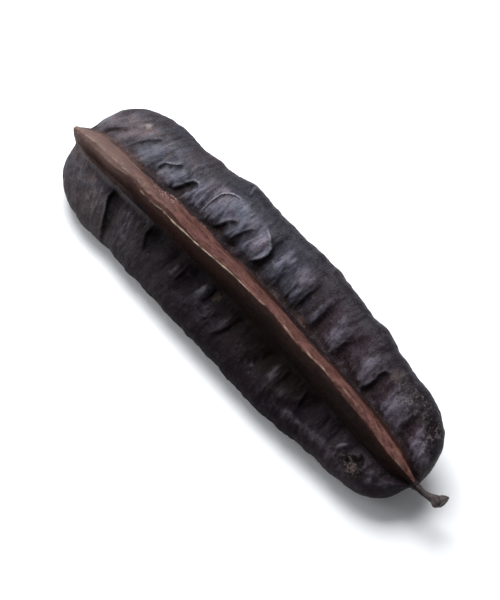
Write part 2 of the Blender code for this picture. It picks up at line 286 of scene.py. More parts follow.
# Folds of the broad wing's upper face, from the beak to the stalk, each with its drop, run and lip, and
# some with the widths of the lip and of the wall. The last three are at the wing's edge and round two
# blisters. The floors of the deepest hollows swell up again.
BROAD_FOLDS = (
    (((10.5, 6.5), (12, 8), (14.5, 10), (17, 12.2)), 0.4, 1.0, 0.15),
    (((21, 7), (23.5, 10.5), (26, 13.5), (28.5, 16), (31, 17.8)), 0.35, 1.2, 0.15),
    (((34.6, 7.5), (35, 10), (36, 11.6), (38, 12.6), (40, 13.6), (41.5, 15.2)), 0.6, 1.6, 0.3),
    (((43.3, 6.8), (45.3, 9.5), (46.5, 11.5), (48, 13.5), (50, 14.1), (51.7, 13)), 0.85, 1.9, 0.35),
    (((54.8, 8.5), (55.2, 12), (55.6, 15)), 0.4, 1.2, 0.0),
    (((63.8, 7.2), (65.8, 10.2), (67, 12.2), (68.6, 13.5), (70.4, 14.2)), 0.7, 1.1, 0.25),
    (((70.9, 7.0), (72, 10), (73.3, 12.8), (74.8, 15.2), (77, 16.8)), 0.3, 1.8, 0.2),
    (((92.6, 6.5), (93, 9), (93.2, 13)), 0.4, 1.5, 0.1),
    (((98.8, 7), (99.2, 10), (99.4, 14)), 0.4, 1.2, 0.1),
    (((103.2, 6.2), (103.6, 10), (103.9, 14), (104.8, 18)), 0.4, 2.4, 0.15, 0.6, 2.0),
    (((111.6, 7), (112, 11), (112.4, 16)), 0.4, 2.0, 0.12, 0.6, 2.0),
    (((122.6, 6.5), (123.6, 9.5), (124.1, 12), (125.4, 13.7)), 0.4, 2.4, 0.16, 0.5, 1.8),
    (((137.6, 6.2), (139.0, 9), (139.6, 11.5), (139.4, 13.8), (140.4, 15.8), (142.8, 17)),
     0.6, 3.0, 0.2, 0.6, 1.7),
    (((155, 6.3), (155.6, 10), (156.4, 13), (157.6, 15.8)), 0.3, 2.0, 0.15, 0.6, 2.0),
    (((166.6, 5.5), (167.2, 8.5), (166, 11), (164.6, 13.5)), 0.5, 1.2, 0.2),
    (((63.8, 26.2), (64.7, 24.8), (66.2, 22.4)), 0.5, 0.9, 0.2),
    (((56.7, 7.6), (57.6, 11), (58.4, 14.2), (59.2, 16.6), (61, 18.6), (63.5, 19.8), (65.3, 20),
      (66.1, 18.6)), 0.0, 1.0, 0.55, 0.45),
    (((82.2, 8.0), (84.1, 10.8), (84.9, 13.4), (84.5, 15.6), (82, 17.8), (78.8, 19.3)),
     0.6, 2.2, 0.6, 0.45))
BROAD_GROOVES = (
    (((33.6, 22.3), (32.0, 18.9)), 0.6, 0.5),
    (((56.5, 19.6), (60, 20.8), (64, 21.3), (67.5, 22)), 0.5, 0.9),
    (((78.6, 23.2), (79.7, 21.9)), 0.35, 0.45),
    (((84.8, 21.4), (88.2, 22.2)), 0.35, 0.5),
    (((98, 20.6), (102.5, 21.8), (107, 22.2), (112, 21.6), (119, 20.4)), 0.45, 0.7),
    (((82.3, 9.5), (83.3, 12.4), (83.0, 14.8)), 0.35, 0.4))
BROAD_SWELLINGS = (
    (20, 9, 6, 4, 0.5), (31, 9, 4, 4, 0.4), (69.5, 8.5, 1.2, 3, 0.5), (76.3, 9.5, 1.8, 5, 0.9),
    (87.4, 13, 1.3, 7, 0.7), (107.8, 12, 1.8, 7, 0.7), (116, 10, 1.8, 6, 0.6),
    (130.3, 10, 2.6, 5, 0.9), (143, 11, 1.8, 6, 0.7), (160, 10, 1.6, 5, 0.5))

for path, *form in BROAD_FOLDS:
    fold(path, broad_front, *form)
for path, *form in BROAD_GROOVES:
    groove(path, broad_front, *form)
swell(broad_front, BROAD_SWELLINGS)

# Folds of the low wing's upper face. The first is the edge of a flap of skin that has come loose. Ribs
# stand up between the pockets, and the skin is crumpled into rounded lumps where it has shrunk most.
LOW_FOLDS = (
    (((28.8, 6.2), (29.5, 9), (31, 11.2), (33, 13.8), (35, 17), (36.6, 19.7), (37.6, 21.8)),
     1.0, 3.6, 0.4, 0.6),
    (((48.3, 5.8), (49, 9.5), (50.4, 11.7), (52, 13.8), (53.2, 15.5)), 0.7, 2.6, 0.2),
    (((67.5, 6.5), (68, 10), (68.4, 14.5)), 0.6, 3.2, 0.2),
    (((80.1, 6.2), (80.5, 9.5), (80, 12.4)), 0.5, 1.8, 0.2),
    (((85.3, 9.8), (86.5, 12.6), (85.2, 15), (82, 15.8), (79.3, 15)), 0.4, 1.5, 0.25),
    (((92.8, 6.5), (93.2, 10), (92.4, 14), (90.6, 17.2)), 0.5, 2.2, 0.2),
    (((101.0, 5.8), (101.4, 9), (100.8, 12.5)), 0.4, 1.8, 0.1),
    (((106.6, 12.2), (108.0, 14.4), (109.4, 13.0)), 0.4, 1.4, 0.25),
    (((113.6, 14.5), (113.3, 10), (113.8, 6)), 0.5, 2.4, 0.2),
    (((118.2, 6), (118.4, 9), (117.6, 13.5)), 0.4, 2.0, 0.1),
    (((126.4, 6), (127.4, 9), (128.6, 12.5)), 0.5, 2.2, 0.15),
    (((137.4, 6), (138, 8.6), (138.4, 11.5)), 0.35, 1.6, 0.1),
    (((120, 17.4), (128, 16.6), (137, 14.6), (145, 13.2)), 0.35, 2.2, 0.08, 1.2, 1.8),
    (((149.6, 6), (148.8, 8.5), (147, 11), (144.3, 12.8)), 0.4, 2.0, 0.1, 0.8))
LOW_SWELLINGS = ((59, 10, 1.4, 5, 0.35), (66, 10.5, 1.6, 5, 0.5), (78.6, 9.8, 1.3, 3.6, 0.6),
                 (83.5, 13.5, 1.6, 1.4, 0.5), (82.0, 17.0, 1.8, 1.2, 0.5), (85.6, 17.6, 1.3, 1.3, 0.5),
                 (91.4, 12.5, 1.3, 5, 0.4), (97, 10, 1.4, 4, 0.35), (115.6, 11, 1.6, 5, 0.5),
                 (121.5, 12.3, 2.6, 2.0, 0.4), (135.6, 9, 1.3, 4, 0.35), (146.5, 8.6, 1.6, 3, 0.2))
CRUMPLED_PATCH = (84, 14, 7, 6)
CRUMPLES = 0.8

for path, *form in LOW_FOLDS:
    fold(path, low_front, *form)
swell(low_front, LOW_SWELLINGS)
lift += np.where(low_front, CRUMPLES * mound(*CRUMPLED_PATCH) * lumps(0.33, 0.33, 41.0), 0)

# The under faces of both fleshy wings have shrunk into pockets of the same kind, set unevenly. Each
# starts by the gutter and slants towards the stalk as it runs out.
FIRST_POCKET = 12.0
LAST_POCKET = 160
POCKET_FOOT = 6

shrinkage = np.random.default_rng(7)
for face in ((wing == BROAD) & ~broad_front & ~stalk, (wing == LOW) & ~low_front & ~stalk):
    start = FIRST_POCKET
    while start < LAST_POCKET:
        foot = start + shrinkage.uniform(-1, 1)
        far_out = shrinkage.uniform(13, 18)
        tilt = shrinkage.uniform(0.5, 3.5)
        bend = (foot + 0.4 * tilt, POCKET_FOOT + 0.5 * (far_out - POCKET_FOOT))
        drop = shrinkage.uniform(0.4, 1.0)
        run = shrinkage.uniform(1.4, 2.6)
        lip = shrinkage.uniform(0.1, 0.25)
        fold(((foot, POCKET_FOOT), bend, (foot + tilt, far_out)), face, drop, run, lip)
        start += shrinkage.uniform(5, 11)

# Two holes that an insect has bored in the low wing, as station, out and radius. They are a little longer
# than they are wide, and their edges are ragged.
HOLES = ((152.4, 11.2, 0.9), (155.0, 8.5, 1.35))
HOLE_DEPTH = 1.3
HOLE_STRETCH = 1.25
HOLE_RAGGEDNESS = 1.1

ragged = lumps(0.45, 0.45, 21.0)
bored = np.zeros(count)
by_hole = np.zeros(count)
for hole_station, hole_out, radius in HOLES:
    gap = np.hypot((station - hole_station) / HOLE_STRETCH, out - hole_out) / radius
    gap += HOLE_RAGGEDNESS * ragged
    bored = np.maximum(bored, np.where(low_front, 1 - ramp(0.6, 1.25, gap), 0))
    by_hole = np.maximum(by_hole, np.where(low_front, 1 - ramp(1.4, 3.0, gap), 0))
lift -= HOLE_DEPTH * bored

# The woody wings are thin ridges of hard fibres that run along them. Their rims are nicked, and the tip
# of the beak, where they meet, is ragged.
FIBRES = 0.16
PITS = 0.16
NICKS = 0.20
BEAK_RAGGEDNESS = 0.5

on_wood = woody * ramp(-0.5, 4, station)
lift += FIBRES * on_wood * lumps(0.10, 0.5, 1.7, 3)
lift += PITS * on_wood * lumps(0.5, 0.5, 2.9, 3)
lift -= NICKS * on_wood * ramp(0.86, 1.0, share) * np.clip(lumps(0.30, 0.1, 6.5) * 3, 0, 1)
lift += BEAK_RAGGEDNESS * woody * (1 - ramp(1.5, 5, station)) * lumps(0.6, 0.6, 27.0)

# The stalk is grooved along, and the knob at its end was cut through roughly.
STALK_GROOVES = 0.12
CUT_ROUGHNESS = 0.75

lift += STALK_GROOVES * stalk * lumps(0.12, 1.6, 4.4, 3)
lift += CUT_ROUGHNESS * ramp(176.5, 179, station) * lumps(0.35, 0.35, 14.0)

# The heights move the skin along its normals, and the finished skin stays inside the solid's box.
lowest, highest = (np.array(corner) * MILLIMETRES for corner in cad_box)
place = np.clip(place + normals * lift[:, None], lowest, highest)
pod.data.vertices.foreach_set("co", (place / MILLIMETRES).ravel())
pod.data.update()

# How far each point stands above or below the skin round it, near and further off. It is judged against
# the mesh smoothed by so many rounds. The torn skin by the insect's holes counts for little.
NEAR_ROUNDS = 14
FAR_ROUNDS = 160

edges = np.empty(len(pod.data.edges) * 2, dtype=np.int64)
pod.data.edges.foreach_get("vertices", edges)
ends = edges.reshape(-1, 2)
neighbours = np.bincount(edges, minlength=count)
normals = read_points("normal")


def smoothed(values, rounds):
    for _ in range(rounds):
        total = np.bincount(ends[:, 0], values[ends[:, 1]], count)
        total += np.bincount(ends[:, 1], values[ends[:, 0]], count)
        values = 0.5 * values + 0.5 * total / neighbours
    return values


def standing_proud(rounds):
    round_it = np.stack([smoothed(place[:, axis], rounds) for axis in range(3)], 1)
    return ((place - round_it) * normals).sum(1)


near_height = standing_proud(NEAR_ROUNDS) * (1 - 0.8 * by_hole)
far_height = standing_proud(FAR_ROUNDS)

# What the skin is like at each point is noted on it for its material. Broad patches and small specks of
# noise make the borders uneven.
patch = lumps(0.05, 0.05, 11.0, 3)
speck = lumps(0.9, 0.9, 12.0, 3)


def note_on_skin(name, values):
    """Keeps a value at each point of the skin for the material to read."""
    layer = pod.data.attributes.new(name, 'FLOAT', 'POINT')
    layer.data.foreach_set("value", np.clip(values, 0, 1).astype(np.float32))


def stain(face, middle, half_length, half_width):
    """A patch with a ragged edge, 1 inside and 0 outside."""
    off = np.hypot((station - middle[0]) / half_length, (out - middle[1]) / half_width)
    return np.where(face, 1 - ramp(0.55, 1.15, off + 0.5 * speck), 0)


# The wood of the crests is bare from this share of the way out. A painted highlight runs along its rim
# where it shows and over its top by the beak, and white flecks lie on one place. Painted shade darkens its
# back flank, the foot of its front flank and the low wing's foot.
WOOD_FROM = ((0, 0), (20, 0.15), (34, 0.28), (43, 0.26), (47, 0.0), (55, 0.12), (63, -0.05), (70, 0.15),
             (77, 0.18), (81, 0.0), (98, 0.05), (104, 0.32), (121, 0.34), (128, 0.12), (135, 0.25),
             (146, 0.1), (168, 0))
RIM_SHOWS = ((0, 0.0), (12, 0.2), (22, 0.2), (50, 0.4), (60, 0.9), (85, 0.8), (98, 0.4), (172, 0.3))

front_flank = (wing == UPPER_CREST) & (across < 0)
back_flank = (wing == UPPER_CREST) & (across >= 0)
wood_from = np.interp(station, *zip(*WOOD_FROM))
note_on_skin("wood", np.where(woody, ramp(-0.15, 0.15, share - wood_from + 0.10 * speck), 0))
furthest = np.full(SLICES, -1.0)
across_at_rim = np.zeros(SLICES)
for point in np.flatnonzero((wing == UPPER_CREST) & ~stalk):
    if out[point] > furthest[slice_of[point]]:
        furthest[slice_of[point]] = out[point]
        across_at_rim[slice_of[point]] = across[point]
filled = np.flatnonzero(furthest > 0)
off_rim = across - np.interp(station, filled, across_at_rim[filled])
# Where a highlight is painted along the rim of the upper crest.
note_on_skin("rim", np.where(wing == UPPER_CREST, ramp(0.75, 0.85, share) * (1 - np.abs(off_rim)), 0))
rim_shows = np.interp(station, *zip(*RIM_SHOWS))
note_on_skin("rim_shows", rim_shows * (0.9 + 0.8 * lumps(0.25, 0.1, 31.0)))
# A painted highlight on the top of the crest's front flank by the beak.
note_on_skin("top_highlight", front_flank * ramp(0.45, 0.95, share) * (1 - ramp(35, 65, station)))
# Painted shade on the crest's back flank, and at the foot of its front flank.
flank_shade = 0.60 * ramp(15, 60, station) + 0.3 * patch
flank_shade += 0.45 * (1 - ramp(0.25, 0.90, share)) * ramp(3, 18, station)
front_foot_shade = (1 - ramp(0.12, 0.60, share)) * ramp(60, 100, station)
note_on_skin("flank_shade", back_flank * (0.22 + flank_shade) + front_flank * front_foot_shade)
# Painted shade at the foot of the crest's back flank and on the low wing beside it.
back_foot_shade = back_flank * (1 - ramp(0.10, 0.80, share + 0.3 * patch - 0.15 * ramp(75, 100, station)))
back_foot_shade += 0.35 * back_flank * ramp(78, 100, station) * (1 - ramp(0.80, 0.95, share))
low_foot_shade = (wing == LOW) * ramp(65, 105, station) * (1 - ramp(118, 142, station))
low_foot_shade *= 0.8 - ramp(0.1, 1.0, share + 0.4 * patch)
note_on_skin("crest_foot_shade", ramp(45, 85, station) * (back_foot_shade + low_foot_shade))
note_on_skin("ruddy", front_flank * ramp(120, 155, station))
by_flecks = ramp(38, 42, station) * (1 - ramp(48, 52, station))
note_on_skin("flecked", front_flank * by_flecks * (1 - ramp(0.35, 0.60, share)))

# Painted light makes the flesh pale at the low wing's foot near the beak. The broad wing's foot is reddish
# and painted darker as shade, and its edge is painted dark as shade. A lip of skin has a painted highlight
# on top and a painted shadow under it.
# Painted light at the low wing's foot near the beak.
painted_light_foot = (1 - ramp(0.03, 0.16, share + 0.1 * patch)) * (1 - ramp(30, 60, station))
note_on_skin("painted_light_foot", (wing == LOW) * painted_light_foot)
at_margin = ramp(0.50, 0.90, share + 0.1 * patch)
note_on_skin("margin", (wing == BROAD) * at_margin * (0.80 + 0.20 * ramp(30, 55, station)))
red_foot = (1 - ramp(0.02, 0.22, share + 0.05 * speck)) * ramp(45, 65, station)
note_on_skin("red_foot", (wing == BROAD) * red_foot)
note_on_skin("side_of_fold", 0.5 + side_of_fold / 4)
note_on_skin("near_fold", near_fold * np.where(wing == LOW, 0.5, 1))
# How strongly the painted highlight shows on each lip.
note_on_skin("lip_highlight_shows", near_fold * np.where(wing == LOW, 0.12, 1))

# The bloom is a thin waxy dust that stays on what stands up, and it is painted brighter there as a sheen.
# Painted highlights (positive amounts) and painted shade (negative amounts) lie in these places, as
# (station, out, half length, half width, lean, amount).
BROAD_LIGHT_AND_SHADE = (
    (20, 8, 14, 4, 0.5, 0.45), (28, 11, 4, 5, 0.8, 0.2), (30, 14, 13, 5, 0.5, 0.15),
    (40, 10, 3, 4, 0.6, 0.35), (42, 8.2, 9, 2.4, 0, 0.22), (48.5, 10.5, 1.6, 3, 0.3, -0.2),
    (54, 12, 3, 5, 0, 0.3), (63, 14, 4.5, 5, 0.2, 0.22), (68.3, 10.0, 1.6, 3, 0.4, -0.7),
    (70, 14, 15, 6, 0, 0.22), (75.6, 11, 2.4, 4.5, 0.3, -0.7), (81, 14, 3, 6, 0, 0.15),
    (86.5, 12, 1.6, 5, 0, -0.35), (90.5, 16, 3.0, 8, 0.1, 0.20), (95.5, 9.5, 2, 5, 0, -0.35),
    (101.5, 12, 2.4, 6, 0.05, 0.24), (106.8, 11.5, 2.5, 7.0, 0, -1.15), (110.8, 11.5, 1.6, 5, 0, 0.26),
    (115.0, 10, 2.2, 5.5, 0, -0.9), (120.5, 11.5, 4.0, 6, 0.15, 0.45), (126, 21, 24, 3.4, 0, -0.35),
    (128, 9.5, 3.2, 4.8, 0, -0.95), (133, 13, 3.0, 4, 0.1, 0.25), (136.3, 9.5, 3.2, 4.5, 0.3, 0.35),
    (139.5, 17.2, 3.0, 1.5, 0.6, 0.45), (143.2, 9.8, 2.8, 6.0, 0.1, -0.8), (151, 11, 4.6, 6, 0.1, 0.38),
    (153, 7.6, 7, 2.4, 0, 0.22), (158.8, 10, 2.0, 4.5, 0, -0.6), (164.5, 8.5, 3, 4, 0, 0.36))
LOW_LIGHT_AND_SHADE = (
    (28, 14, 2.5, 8, 0.7, 0.15), (33.6, 10.0, 2.8, 5.0, 0.55, -0.85), (43, 13, 4.5, 9, 0.3, 0.30),
    (47, 7, 3, 1.6, 0, 0.40), (52.8, 9.5, 3.2, 5.5, 0.4, -0.85), (60.5, 11.5, 1.8, 3.5, 0, 0.25),
    (66, 11.2, 1.6, 2.6, 0, 0.40), (72.5, 10, 3, 5, 0, -0.5), (78.6, 9.8, 1.5, 3.2, 0.1, 0.48),
    (84, 14, 6, 5, 0, 0.18), (88, 9, 2.5, 4, 0, -0.2), (91.6, 12, 1.0, 4, 0, 0.18),
    (104, 9, 2.5, 4, 0, -0.25), (107.6, 14.3, 1.3, 0.9, 0, 0.35), (110.5, 9, 2.3, 4, 0, -0.35),
    (115.2, 11, 1.2, 5, 0.1, 0.45), (120.5, 12.8, 3.0, 1.6, 0.2, 0.40), (125, 7, 2.0, 1.8, 0, 0.30),
    (131, 16.2, 12, 2.4, -5, 0.18), (132, 9, 3.0, 4, 0, -0.35), (142.3, 8, 1.6, 3, -0.3, -0.3),
    (144, 14.5, 10, 2.8, -5, 0.15), (146.6, 8.6, 1.8, 3.4, -0.5, 0.04), (152, 6.5, 10, 2.5, 0, 0.30),
    (154, 13.8, 6, 1.6, -1.5, 0.30), (160.5, 9, 2.5, 2.5, -0.5, 0.20))
EDGE_BLOOM_AND_SHEEN_LOST = ((0, 0.4), (15, 0.5), (60, 0.62), (100, 0.88), (172, 0.92))
POCKET_SHADE_BY_STATION = ((20, 0.30), (60, 0.40), (85, 0.80), (110, 1.0), (145, 1.0), (155, 0.85))


# Painted highlights and painted shade, each a soft patch round a place on a wing.
def light_and_shade_of(face, light_and_shade_table):
    light_and_shade = np.zeros(count)
    for middle, middle_out, half_length, half_width, tilt, amount in light_and_shade_table:
        across_it = out - middle_out + 1.2 * patch
        along_it = station - middle - tilt * (out - middle_out) + 1.2 * patch
        light_and_shade += amount * np.exp(-((along_it / half_length) ** 2 + (across_it / half_width) ** 2))
    return np.where(face, light_and_shade, 0)


light_and_shade = light_and_shade_of(broad_front, BROAD_LIGHT_AND_SHADE) + light_and_shade_of(low_front, LOW_LIGHT_AND_SHADE)
# Bloom with a painted sheen on what stands up, less of it towards the wings' edges.
low_bloom_and_sheen = 0.12 + 0.20 * (1 - ramp(10, 75, station)) + 0.8 * np.clip(light_and_shade, 0, 0.6)
low_bloom_and_sheen += 0.22 * ramp(108, 150, station)
bloom_and_sheen = np.where(wing == LOW, low_bloom_and_sheen, 1 - 0.20 * ramp(90, 150, station))
bloom_and_sheen *= 1 - ramp(0.50, 0.95, share) * np.interp(station, *zip(*EDGE_BLOOM_AND_SHEEN_LOST))
standing = 0.41 + 0.44 * near_height + 0.12 * far_height + light_and_shade + 0.25 * patch - 0.15 * fine_wrinkles
standing += np.where(wing == LOW, 0.96 * near_height + 0.15 * far_height + 0.2 * patch - 0.08, 0)
note_on_skin("bloom_and_sheen", fleshy * bloom_and_sheen * ramp(-0.05, 1.05, standing))
# Painted shade in the hollows, where the skin lies below the skin round it and where a patch above is
# negative.
sunk_shade = -np.where(wing == LOW, 1.1, 0.55) * near_height - 0.25 * far_height
note_on_skin("sunk_shade", sunk_shade - np.where(light_and_shade < 0, 1.2, 0.5) * light_and_shade + 0.1 * speck)
pocket_shade_strength = np.interp(station, *zip(*POCKET_SHADE_BY_STATION))
note_on_skin("pocket_shade", pocket_shade * np.where(low_front, np.maximum(pocket_shade_strength, 0.85), pocket_shade_strength))

# The gutters are dark with dust and painted shade, and browner by the beak. The flesh is bluish at mid-pod,
# plum by the stalk and matte by the beak, and the low wing is painted darker as shade.
GUTTER_WIDTH = ((0, 0.14), (25, 0.14), (36, 0.18), (60, 0.27), (100, 0.27), (116, 0.18), (172, 0.14))

gutter_width = np.interp(station, *zip(*GUTTER_WIDTH)) * np.where(wing == LOW, 0.4, 1)
from_gutter = share + 0.06 * speck + np.where(broad_front, 0.25 * near_height, 0)
in_gutter = 1 - ramp(0.02, 1.0, from_gutter / gutter_width)
in_gutter *= np.where(wing == LOW, ramp(50, 100, station) * (1 - 0.6 * ramp(135, 150, station)), 1)
note_on_skin("gutter", np.where(fleshy, in_gutter, woody))
mid_pod = ramp(42, 60, station) * (1 - ramp(92, 115, station))
blue_shows = np.where(broad_front, 1 - 0.5 * ramp(0.85, 1.0, share), 0.4)
note_on_skin("blue", (wing == BROAD) * mid_pod * blue_shows)
browned = 0.9 * mound(100, 17, 9, 4.5) * broad_front
plum = fleshy * np.maximum(browned, ramp(88, 116, station + 20 * patch))
note_on_skin("plum", plum * np.where(wing == BROAD, 1.0, 0.6))
low_margin = np.where(wing == LOW, ramp(0.5, 0.9, share), 0)
beakward = 1 - ramp(18, np.where(wing == LOW, 88, 75), station + 8 * patch - 14 * low_margin)
note_on_skin("beakward", beakward * np.where(wing == LOW, 0.55, 1))
# Painted shade over the low wing, which lies in the crest's shadow.
note_on_skin("low_wing_shade", (wing == LOW) * (0.35 + 0.65 * ramp(10, 60, station) - 0.45 * ramp(130, 150, station)))

# Rusty stains, crumbs and one small pale spot lie on the flesh. The insect's holes are painted dark as the
# shade in their depth, and the stalk starts where the body ends.
rust = 0.8 * stain(broad_front, (35.3, 14), 1.2, 2.2) + 0.62 * stain(broad_front, (144.8, 17.4), 4.4, 3.4)
rust += 1.0 * stain(low_front, (82.5, 7.8), 2.2, 1.8) + 0.25 * stain(broad_front, (118, 16), 7, 4)
rust += 0.62 * stain(broad_front, (108.8, 6.8), 3.4, 2.0) + 0.5 * stain(broad_front, (96, 6.2), 3, 1.2)
note_on_skin("rust", rust)
crumbs = 0.70 * stain(low_front, (154.0, 11.2), 6.0, 3.4)
crumbs += 0.63 * stain(broad_front, (156, 16.8), 13, 5.0) + 0.45 * stain(broad_front, (166, 12), 3, 5)
crumbs += 0.35 * stain(low_front, (125, 7), 5, 2.5) + 0.3 * stain(low_front, (110, 8), 4, 3)
note_on_skin("crumbs", crumbs)
note_on_skin("pale_spot", stain(broad_front, (22.4, 16.8), 1.1, 1.1))
note_on_skin("bored", bored)
note_on_skin("stalk", ramp(-1.0, 1.5, station - BODY_LENGTH))

# Creases and streaks of colour follow the wrinkles across the wings. Their pattern is drawn out that
# way and leans back near the beak.
DRAWN_OUT = 0.2
wrinkle_way = pod.data.attributes.new("fold_way", 'FLOAT_VECTOR', 'POINT')
across_way = np.stack([station - lean * out, DRAWN_OUT * in_y, DRAWN_OUT * in_z], 1)
wrinkle_way.data.foreach_set("vector", across_way.ravel())

# The dried skin: near-black plum flesh with a dull blue-grey bloom and a painted sheen on what stands up,
# painted shade in its hollows and pockets, dust and painted shade in the gutters, brown by the beak, and
# red-brown wood on the flanks of the two woody wings. Every pattern is fixed to the pod itself.
skin = bpy.data.materials.new("dried_pod_skin")
skin.use_nodes = True
surface = skin.node_tree.nodes["Principled BSDF"]


def made(kind, **settings):
    node = skin.node_tree.nodes.new(kind)
    for key, value in settings.items():
        setattr(node, key, value)
    return node


def feed(socket, value):
    if isinstance(value, bpy.types.NodeSocket):
        skin.node_tree.links.new(value, socket)
    elif isinstance(value, tuple):
        socket.default_value = (*value, 1)
    else:
        socket.default_value = value


def noted(name):
    return made("ShaderNodeAttribute", attribute_name=name).outputs["Fac"]


def mixed(amount, one, two):
    """The first colour with this amount of the second in it."""
    node = made("ShaderNodeMix", data_type='RGBA')
    for socket, value in ((node.inputs[0], amount), (node.inputs[6], one), (node.inputs[7], two)):
        feed(socket, value)
    return node.outputs[2]


def between(value, low, high, to_low=0.0, to_high=1.0):
    """Turns the range from low to high into another, smoothly, and holds it beyond its ends."""
    node = made("ShaderNodeMapRange", interpolation_type='SMOOTHSTEP')
    names = ("Value", "From Min", "From Max", "To Min", "To Max")
    for name, given in zip(names, (value, low, high, to_low, to_high)):
        feed(node.inputs[name], given)
    return node.outputs["Result"]


def plus(one, two, weight):
    """The first value and this weight of the second."""
    node = made("ShaderNodeMath", operation='MULTIPLY_ADD')
    for socket, value in zip(node.inputs, (two, weight, one)):
        feed(socket, value)
    return node.outputs[0]


def product(one, two):
    node = made("ShaderNodeMath", operation='MULTIPLY')
    for socket, value in zip(node.inputs, (one, two)):
        feed(socket, value)
    return node.outputs[0]


def mottle(way, scale, detail, roughness):
    node = made("ShaderNodeTexNoise")
    for name, value in (("Vector", way), ("Scale", scale), ("Detail", detail), ("Roughness", roughness)):
        feed(node.inputs[name], value)
    return node.outputs["Fac"]


on_pod = made("ShaderNodeTexCoord").outputs["Object"]
along_pod = made("ShaderNodeMapping")
along_pod.inputs["Scale"].default_value = (0.13, 1, 1)
feed(along_pod.inputs["Vector"], on_pod)
across_wings = made("ShaderNodeAttribute", attribute_name="fold_way").outputs["Vector"]

clouds = mottle(on_pod, 70, 4.0, 0.6)
blots = mottle(on_pod, 190, 4.0, 0.6)
spots = mottle(on_pod, 420, 4.0, 0.6)
pores = mottle(on_pod, 1500, 3.0, 0.6)
grain = mottle(on_pod, 2600, 1.0, 0.6)
fibres = mottle(along_pod.outputs["Vector"], 900, 4.0, 0.6)
creases = mottle(across_wings, 0.75, 4.0, 0.5)
streaks = mottle(across_wings, 1.3, 3.0, 0.5)

GREY_FLESH = (0.018, 0.015, 0.018)
BROWN_FLESH = (0.036, 0.024, 0.026)
PLUM_FLESH = (0.0205, 0.0095, 0.0140)
BLUE_FLESH = (0.026, 0.028, 0.040)
SHADED_FLESH = (0.0052, 0.0030, 0.0045)
# Colours of the bloom, painted brighter as a sheen on what stands up.
BLUE_BLOOM_SHEEN = (0.122, 0.124, 0.170)
MAUVE_BLOOM_SHEEN = (0.155, 0.127, 0.160)
PLUM_BLOOM_SHEEN = (0.128, 0.102, 0.138)
BLUE_MATTE = (0.062, 0.062, 0.082)
BROWN_MATTE = (0.118, 0.079, 0.073)
DARK_MATTE = (0.042, 0.037, 0.038)
SHADED_MATTE = (0.062, 0.052, 0.052)
PALE_STREAK = (0.098, 0.092, 0.090)


def flesh_with_bloom_and_painted_light():
    """Flesh with its bloom and painted sheen, painted shade on the low wing, and matte and greyer by the
    beak.
    """
    flesh = mixed(between(clouds, 0.38, 0.62), GREY_FLESH, BROWN_FLESH)
    flesh = mixed(between(noted("plum"), 0.0, 1.0, 0.0, 0.8), flesh, PLUM_FLESH)
    flesh = mixed(between(noted("blue"), 0.0, 1.0, 0.0, 0.7), flesh, BLUE_FLESH)
    # Painted shade on the low wing.
    flesh = mixed(between(noted("low_wing_shade"), 0.0, 1.0, 0.0, 0.82), flesh, SHADED_FLESH)
    # The bloom and its painted sheen, strongest on what stands up.
    bloom_and_sheen_amount = plus(plus(plus(plus(noted("bloom_and_sheen"), spots, 0.35), blots, 0.45), creases, 0.65), pores, 0.30)
    dust_and_painted_light = mixed(between(clouds, 0.40, 0.60), BLUE_BLOOM_SHEEN, MAUVE_BLOOM_SHEEN)
    dust_and_painted_light = mixed(between(noted("plum"), 0.0, 1.0, 0.0, 0.7), dust_and_painted_light, PLUM_BLOOM_SHEEN)
    flesh = mixed(between(bloom_and_sheen_amount, 1.00, 2.00), flesh, dust_and_painted_light)
    matte = mixed(between(clouds, 0.40, 0.60), BLUE_MATTE, BROWN_MATTE)
    matte = mixed(between(plus(blots, creases, 0.6), 0.65, 0.95), DARK_MATTE, matte)
    matte = mixed(product(noted("low_wing_shade"), 0.8), matte, SHADED_MATTE)
    streaked = product(product(noted("low_wing_shade"), 1.1), between(streaks, 0.48, 0.62))
    matte = mixed(streaked, matte, PALE_STREAK)
    return mixed(between(noted("beakward"), 0.0, 1.0, 0.0, 0.60), flesh, matte)


GREY_HOLLOW_SHADE = (0.009, 0.007, 0.008)
PLUM_HOLLOW_SHADE = (0.011, 0.0050, 0.0055)
POCKET_SHADOW = (0.005, 0.0035, 0.0035)
GUTTER_DUST_AND_SHADE = (0.011, 0.006, 0.005)
GUTTER_BROWN = (0.078, 0.046, 0.036)
RED_FOOT_SHADE = (0.013, 0.0065, 0.0055)
RED_FLECK = (0.100, 0.042, 0.032)
EDGE_SHADE = (0.006, 0.005, 0.009)
FOOT_PAINTED_LIGHT = (0.120, 0.104, 0.108)
UNDER_LIP_SHADOW = (0.006, 0.005, 0.006)
LIP_HIGHLIGHT = (0.185, 0.185, 0.215)

lip_side = noted("side_of_fold")


